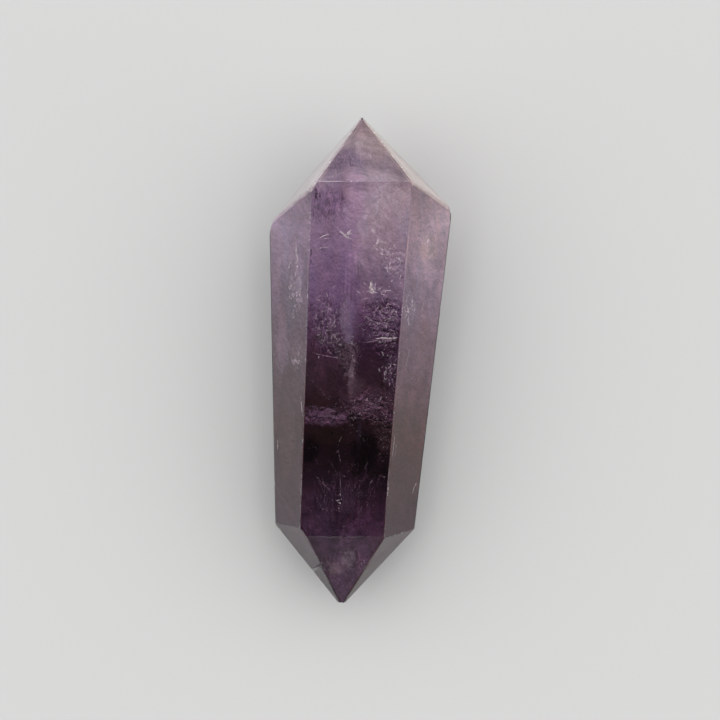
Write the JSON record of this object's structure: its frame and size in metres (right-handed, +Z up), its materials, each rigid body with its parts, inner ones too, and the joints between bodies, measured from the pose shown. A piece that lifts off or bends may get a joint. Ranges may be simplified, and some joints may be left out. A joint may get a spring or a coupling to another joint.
{
  "type": "double terminated amethyst crystal",
  "caption": "Polished amethyst crystal with a tapered prism and a faceted point at each end, pale violet darkening towards its narrow point; an ornament that lies on a long face.",
  "frame": {"origin": "on the surface that the crystal lies on, under the middle of its box", "axes": "+Z up, away from the face that the crystal lies on; +Y along the crystal, towards its wider end; +X to the right, looking down on the crystal with its wide point up the page"},
  "size_m": [0.0298, 0.0798, 0.0257],
  "materials": {
    "amethyst": "polished"
  },
  "bodies": {
    "root": {"crystal": "amethyst"}
  },
  "joints": []
}
